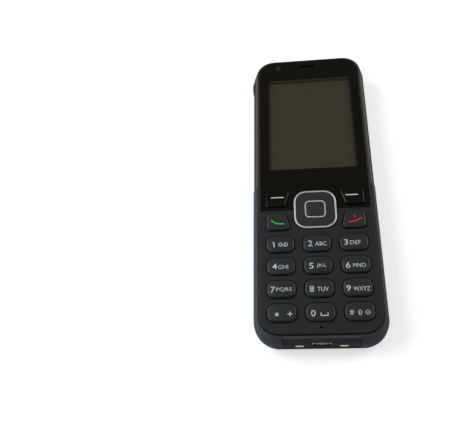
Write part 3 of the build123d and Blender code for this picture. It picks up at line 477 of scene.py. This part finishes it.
# Side key: moulded in the housing's plastic but painted lighter than the housing, as the light that
# its swelling catches, and held in the left wall by a foot inside it.
# Its face is crowned along its length, so that it swells gently out of the flank.
crown_zone, crown_drop, crown_cuts = 0.6 * MM, 0.45 * MM, 16
weld, sliver, crease = 0.001 * MM, 0.002 * MM, math.radians(35)
side_low, side_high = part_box("side_key")
side_middle, side_half = (side_low.y + side_high.y) / 2, 4 * MM
work = bmesh.new()
work.from_mesh(nodes["side_key"].data)
bmesh.ops.remove_doubles(work, verts=work.verts, dist=weld)
for step in range(1, crown_cuts):
    bmesh.ops.bisect_plane(
        work, geom=work.verts[:] + work.edges[:] + work.faces[:], plane_no=(0, 1, 0),
        plane_co=(0, side_middle + side_half * (2 * step / crown_cuts - 1), 0))
bmesh.ops.dissolve_degenerate(work, edges=work.edges, dist=sliver)
for point in work.verts:
    if point.co.x < side_low.x + crown_zone:
        point.co.x += crown_drop * ((point.co.y - side_middle) / side_half) ** 2
crowned = bpy.data.meshes.new("side_key_cap")
work.to_mesh(crowned)
work.free()
for face in crowned.polygons:
    face.use_smooth = True
crowned.set_sharp_from_angle(angle=crease)
# Painted light: the cap's tone is lighter than the housing's, for the light that falls on its
# swelling.
crowned.materials.append(moulded("side_lacquer", colour(60, 64, 69), 0.7, gloss=0.25))
side_cap = bpy.data.objects.new("side_key_cap", crowned)
bpy.context.scene.collection.objects.link(side_cap)
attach(side_cap, "side_key")
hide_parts("side_key")

# Battery cover: moulded polycarbonate with a soft-touch lacquer. It is held on the rear
# housing's rails by its leaning sides, and slides off towards the lower end.
dress(moulded("cover_lacquer", colour(53, 57, 62), 0.82, gloss=0.2), "battery_cover")

# Legends of the number keys: pale ink, pad printed on the key tops and lacquered over. They
# are flat films that follow the crown of their key.
ink_lift, crown_rise, key_width = 0.02 * MM, 0.25 * MM, 11.36 * MM
crown_curvature = 8 * crown_rise / (key_width ** 2 + 4 * crown_rise ** 2)


def ink_finish(name, tone):
    """Pad-printed ink, a little uneven where the pad lifts off."""
    finish = Finish(name)
    grain = finish.noise(finish.spot, 0.25 * MM, 3.0)
    return finish.end(finish.surface(
        Base_Color=finish.blend(grain, toned(tone, 0.82), tone), Roughness=0.45))


pale_ink = ink_finish("pale_ink", colour(182, 190, 198))

printed_line = Graph(bpy.data.node_groups.new("printed_line", "GeometryNodeTree"))
line_inputs = {}
for label, kind in (("Geometry", "Geometry"), ("Thickness", "Float"), ("Middle", "Float"),
                    ("Top", "Float"), ("Curvature", "Float"), ("Ink", "Material")):
    line_inputs[label] = printed_line.tree.interface.new_socket(
        name=label, in_out="INPUT", socket_type="NodeSocket" + kind).identifier
printed_line.tree.interface.new_socket(
    name="Geometry", in_out="OUTPUT", socket_type="NodeSocketGeometry")
thickness = printed_line.add("NodeGroupInput", out="Thickness")
softened = printed_line.add("GeometryNodeFilletCurve", {"mode": "POLY"}, {
    "Curve": printed_line.add("NodeGroupInput", out="Geometry"), "Count": 3,
    "Radius": thickness * 0.6})
upright = printed_line.add("GeometryNodeSetCurveNormal", {"mode": "Z_UP"}, {"Curve": softened})
across = printed_line.add("GeometryNodeCurvePrimitiveLine", None, {
    "Start": printed_line.add("ShaderNodeCombineXYZ", None, {"X": thickness * -0.5}),
    "End": printed_line.add("ShaderNodeCombineXYZ", None, {"X": thickness * 0.5})})
ribbon = printed_line.add("GeometryNodeCurveToMesh", None, {
    "Curve": upright, "Profile Curve": across})
spot = printed_line.add("GeometryNodeInputPosition")
x, y = [printed_line.add("ShaderNodeSeparateXYZ", None, {0: spot}, letter) for letter in "XY"]
away = x - printed_line.add("NodeGroupInput", out="Middle")
bend = away * away * printed_line.add("NodeGroupInput", out="Curvature") * 0.5
laid = printed_line.add("GeometryNodeSetPosition", None, {
    "Geometry": ribbon, "Position": printed_line.add("ShaderNodeCombineXYZ", None, {
        "X": x, "Y": y, "Z": printed_line.add("NodeGroupInput", out="Top") - bend})})
inked = printed_line.add("GeometryNodeSetMaterial", None, {
    "Geometry": laid, "Material": printed_line.add("NodeGroupInput", out="Ink")})
printed_line.add("NodeGroupOutput", None, {
    "Geometry": printed_line.add("GeometryNodeRealizeInstances", None, {"Geometry": inked})})


def plain_mesh(name, shape_data, modify=None):
    """A curve's or text's plain mesh, after its modifier, if it has one."""
    shape = bpy.data.objects.new(name, shape_data)
    bpy.context.scene.collection.objects.link(shape)
    if modify:
        modify(shape)
    bpy.context.view_layer.update()
    depsgraph = bpy.context.evaluated_depsgraph_get()
    mesh = bpy.data.meshes.new_from_object(shape.evaluated_get(depsgraph))
    bpy.data.objects.remove(shape)
    return mesh


def print_on(key, name, mesh, material):
    """A printed mesh that rides with its key."""
    mesh.materials.clear()
    mesh.materials.append(material)
    overlay = bpy.data.objects.new(name, mesh)
    bpy.context.scene.collection.objects.link(overlay)
    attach(overlay, key)


def strokes(name, key, lines, thickness, material, closed=False, curvature=0.0):
    """Printed lines of one thickness, each a list of points in millimetres, on a key's top."""
    low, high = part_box(key)
    curve = bpy.data.curves.new(name, "CURVE")
    curve.dimensions = "3D"
    for line in lines:
        spline = curve.splines.new("POLY")
        spline.points.add(len(line) - 1)
        for point, (px, py) in zip(spline.points, line):
            point.co = (px * MM, py * MM, 0, 1)
        spline.use_cyclic_u = closed

    def thicken(shape):
        modifier = shape.modifiers.new("printed_line", "NODES")
        modifier.node_group = printed_line.tree
        for label, value in (("Thickness", thickness * MM), ("Middle", (low.x + high.x) / 2),
                             ("Top", high.z + ink_lift), ("Curvature", curvature),
                             ("Ink", material)):
            modifier[line_inputs[label]] = value

    print_on(key, name, plain_mesh(name, curve, thicken), material)


def letters(name, key, words, px, py, height, width, weight):
    """Characters in pale ink, centred on a point in millimetres, of a given height and width."""
    text = bpy.data.curves.new(name, "FONT")
    text.body = words
    text.offset = weight
    text.resolution_u = 4
    mesh = plain_mesh(name, text)
    low, high = [Vector([pick(point.co[axis] for point in mesh.vertices) for axis in range(3)])
                 for pick in (min, max)]
    key_low, key_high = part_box(key)
    for point in mesh.vertices:
        point.co.x = (px + ((point.co.x - low.x) / (high.x - low.x) - 0.5) * width) * MM
        point.co.y = (py + ((point.co.y - low.y) / (high.y - low.y) - 0.5) * height) * MM
        away = point.co.x - (key_low.x + key_high.x) / 2
        point.co.z = key_high.z + ink_lift - away ** 2 * crown_curvature / 2
    print_on(key, name, mesh, pale_ink)


figure_height, figure_weight = 2.5, 0.004
for key, figure, px, py, width in (
        ("key_2", "2", -2.75, -29.95, 1.75), ("key_3", "3", 11.45, -29.9, 1.55),
        ("key_4", "4", -17.15, -39.6, 1.9), ("key_5", "5", -2.7, -39.75, 1.75),
        ("key_6", "6", 11.58, -39.9, 1.8), ("key_7", "7", -18.03, -49.38, 1.75),
        ("key_8", "8", -2.9, -49.45, 1.7), ("key_9", "9", 11.08, -49.5, 1.7),
        ("key_0", "0", -2.78, -59.3, 1.7)):
    letters("figure_" + figure, key, figure, px, py, figure_height, width, figure_weight)

letter_height, letter_weight = 1.75, 0.0
for key, words, px, py, width in (
        ("key_2", "ABC", 1.52, -30.2, 4.6), ("key_3", "DEF", 15.12, -30.15, 4.1),
        ("key_4", "GHI", -13.8, -39.9, 4.0), ("key_5", "JKL", 1.28, -39.85, 3.9),
        ("key_6", "MNO", 15.9, -40.05, 4.8), ("key_7", "PQRS", -13.65, -49.45, 6.1),
        ("key_8", "TUV", 1.35, -49.6, 4.4), ("key_9", "WXYZ", 16.05, -49.8, 6.4)):
    letters("letters_" + words, key, words, px, py, letter_height, width, letter_weight)

star_x, star_y, star_arm = -16.6, -59.5, 0.85
strokes("sign_star", "key_star", [
    [(star_x + end * star_arm * math.sin(turn), star_y + end * star_arm * math.cos(turn))
     for end in (-1, 1)]
    for turn in (0, math.pi / 3, 2 * math.pi / 3)], 0.3, pale_ink, curvature=crown_curvature)
letters("sign_plus", "key_star", "+", -11.6, -59.35, 1.9, 1.9, 0.01)
letters("sign_hash", "key_hash", "#", 11.6, -59.25, 2.1, 1.6, 0.0)


def ring_points(px, py, half_width=0.66, half_height=0.7, count=20):
    """Points round an ellipse, in millimetres."""
    return [(px + half_width * math.cos(2 * math.pi * step / count),
             py + half_height * math.sin(2 * math.pi * step / count)) for step in range(count)]


for name, key, lines, line_width, closed in (
        ("sign_space", "key_0", [[(0.1, -59.15), (0.1, -60.3), (2.7, -60.3), (2.7, -59.15)]],
         0.38, False),
        ("figure_1", "key_1", [[(-17.75, -29.15), (-17.25, -28.65), (-17.25, -31.1)]],
         0.46, False),
        ("sign_message", "key_1", [ring_points(-14.7, -30.05), ring_points(-12.5, -30.05)],
         0.32, True),
        ("sign_message_line", "key_1", [[(-14.7, -30.78), (-12.5, -30.78)]], 0.18, False),
        ("sign_shift", "key_hash", [
            [(13.85, -59.3), (14.65, -58.3), (15.45, -59.3), (15.0, -59.3), (15.0, -60.3),
             (14.3, -60.3), (14.3, -59.3)]], 0.24, True),
        ("sign_ringer_body", "key_hash", [
            [(17.1, -58.6), (17.95, -58.6), (17.95, -60.1), (17.1, -60.1)]], 0.2, True),
        ("sign_ringer_waves", "key_hash", [
            [(16.55, -58.95), (16.55, -59.75)], [(18.5, -58.95), (18.5, -59.75)]], 0.2, False)):
    strokes(name, key, lines, line_width, pale_ink, closed, crown_curvature)

# Marker on the 5: a low rounded bar, moulded in one with the cap and lacquered with it, by
# which a thumb finds the middle. Its floor lies just under the key's top. In millimetres.
marker_x, marker_y, marker_half, marker_width = 1.1, -42.1, 0.75, 0.42
marker_rise, marker_sink, arc_steps, cross_steps = 0.16, 0.03, 8, 6
key_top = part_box("key_5")[1].z
outline = []
for end, first in ((1, 0), (-1, arc_steps)):
    for step in range(first, first + arc_steps + 1):
        turn = math.pi / 2 - math.pi * step / arc_steps
        outline.append((end * marker_half + marker_width / 2 * math.cos(turn),
                        marker_width / 2 * math.sin(turn)))
row = len(outline)
marker_points, marker_faces = [], [tuple(range(row))]
for ring in range(cross_steps + 1):
    share = math.cos(math.pi / 2 * ring / cross_steps)
    lift = marker_rise * math.sin(math.pi / 2 * ring / cross_steps) - marker_sink
    for px, py in outline:
        centre = max(-marker_half, min(marker_half, px))
        marker_points.append(((marker_x + centre + (px - centre) * share) * MM,
                              (marker_y + py * share) * MM, key_top + lift * MM))
for ring in range(cross_steps):
    for step in range(row):
        following = (step + 1) % row
        marker_faces.append((ring * row + following, ring * row + step,
                             (ring + 1) * row + step, (ring + 1) * row + following))
marker = bpy.data.meshes.new("marker_5")
marker.from_pydata(marker_points, [], marker_faces)
work = bmesh.new()
work.from_mesh(marker)
bmesh.ops.remove_doubles(work, verts=work.verts, dist=weld)
work.to_mesh(marker)
work.free()
for face in marker.polygons:
    face.use_smooth = True
print_on("key_5", "marker_5", marker, satin)

# Signs of the call, end and soft keys: green, red and white inks, pad printed as the legends
# are. The tops of these keys are flat.
green_ink = ink_finish("green_ink", colour(46, 176, 84))
red_ink = ink_finish("red_ink", colour(192, 38, 42))
white_ink = ink_finish("white_ink", colour(214, 214, 200))
for name, key, line, line_width, ink in (
        ("sign_call", "call_key", [(-18.2, -18.75), (-17.6, -19.55), (-16.7, -20.15),
                                   (-15.65, -20.5), (-14.4, -20.7), (-12.95, -20.7)],
         0.55, green_ink),
        ("sign_end", "end_key", [(13.15, -20.9), (14.4, -20.85), (15.95, -20.5),
                                 (17.25, -19.95), (18.55, -19.15)], 0.55, red_ink),
        ("sign_end_stroke", "end_key", [(15.65, -17.7), (15.72, -19.1)], 0.5, red_ink),
        ("line_left", "soft_key_left", [(-18.1, -8.0), (-12.8, -8.0)], 0.42, white_ink),
        ("line_right", "soft_key_right", [(12.75, -8.05), (17.9, -8.05)], 0.42, white_ink)):
    strokes(name, key, [line], line_width, ink)

# Studio: a sheet of white paper, three soft lamps, and a room that the gloss of the lens shows
# as dark above and pale near the floor. The paper is clear from below, and its underlight
# reaches only what lies on it, so that the back can be looked at too.
floor_half, floor_drop = 3.0, 0.05 * MM
pale_from, pale_to, near_glow, far_glow = 0.3, 1.2, 0.54, 0.4
underlight_reach, underlight_level = 5 * MM, 0.5
sheet = bpy.data.meshes.new("floor")
sheet.from_pydata([(side * floor_half, end * floor_half, -floor_drop)
                   for side, end in ((-1, -1), (1, -1), (1, 1), (-1, 1))], [], [(0, 1, 2, 3)])
floor = bpy.data.objects.new("floor", sheet)
bpy.context.scene.collection.objects.link(floor)


def rays(graph, *kinds):
    """Light Path's outputs by their names."""
    return [graph.add("ShaderNodeLightPath", out=kind) for kind in kinds]


paper = Finish("floor_paper")
camera_ray, glossy_ray, clear_ray, diffuse_ray, ray_length = rays(
    paper, "Is Camera Ray", "Is Glossy Ray", "Is Transmission Ray", "Is Diffuse Ray", "Ray Length")
seen = paper.add("ShaderNodeMath", {"operation": "ADD", "use_clamp": True}, {
    0: camera_ray + glossy_ray, 1: clear_ray})
far = paper.add("ShaderNodeMapRange", {"clamp": True}, {
    "Value": distance(paper, Vector((0, 0))), "From Min": pale_from, "From Max": pale_to,
    "To Min": 0.0, "To Max": far_glow})
underlight = diffuse_ray * (ray_length < underlight_reach) * underlight_level
matt = paper.add("ShaderNodeBsdfDiffuse", None, {"Color": colour(206, 206, 206)})
glow = paper.add("ShaderNodeEmission", None, {
    "Color": (1, 1, 1, 1), "Strength": seen * (far + near_glow) + underlight})
sheet.materials.append(paper.end(paper.add("ShaderNodeMixShader", None, {
    0: paper.add("ShaderNodeNewGeometry", out="Backfacing"),
    1: paper.add("ShaderNodeAddShader", None, {0: matt, 1: glow}),
    2: paper.add("ShaderNodeBsdfTransparent")})))


def soft_lamp(name, place, width, power, tone, mirrored=True):
    """A square soft lamp that faces the phone, and may stay out of its reflections."""
    light = bpy.data.lights.new(name, "AREA")
    light.size = width
    light.energy = power
    light.color = tone
    lamp = bpy.data.objects.new(name, light)
    facing = (-Vector(place)).to_track_quat("-Z", "Y").to_matrix().to_4x4()
    lamp.matrix_world = Matrix.Translation(place) @ facing
    lamp.visible_glossy = mirrored
    bpy.context.scene.collection.objects.link(lamp)


soft_lamp("lamp_left", (-0.62, 0.22, 0.7), 0.45, 5.0, (0.96, 0.98, 1.0))
soft_lamp("lamp_right", (0.7, 0.35, 0.55), 0.5, 3.4, (1.0, 0.98, 0.95))
soft_lamp("lamp_low", (-0.8, -0.1, 0.18), 0.4, 4.0, (0.86, 0.94, 1.0), mirrored=False)

pale_rise, dark_rise, dark_level, room_light = 0.05, 0.18, 0.08, 0.35
world = bpy.data.worlds.new("studio")
bpy.context.scene.world = world
world.use_nodes = True
room = Graph(world.node_tree)
camera_ray, glossy_ray, clear_ray = rays(
    room, "Is Camera Ray", "Is Glossy Ray", "Is Transmission Ray")
heading = room.add("ShaderNodeTexCoord", out="Generated")
near_floor = room.add("ShaderNodeMapRange", {"clamp": True}, {
    "Value": abs(room.add("ShaderNodeSeparateXYZ", None, {0: heading}, "Z")),
    "From Min": pale_rise, "From Max": dark_rise, "To Min": 1.0, "To Max": dark_level})
shown = camera_ray + clear_ray
level = shown + (1 - shown) * (glossy_ray * near_floor + (1 - glossy_ray) * room_light)
room.add("ShaderNodeOutputWorld", None, {"Surface": room.add("ShaderNodeBackground", None, {
    "Color": (1, 1, 1, 1), "Strength": level})})
bpy.context.scene.view_settings.view_transform = "Standard"
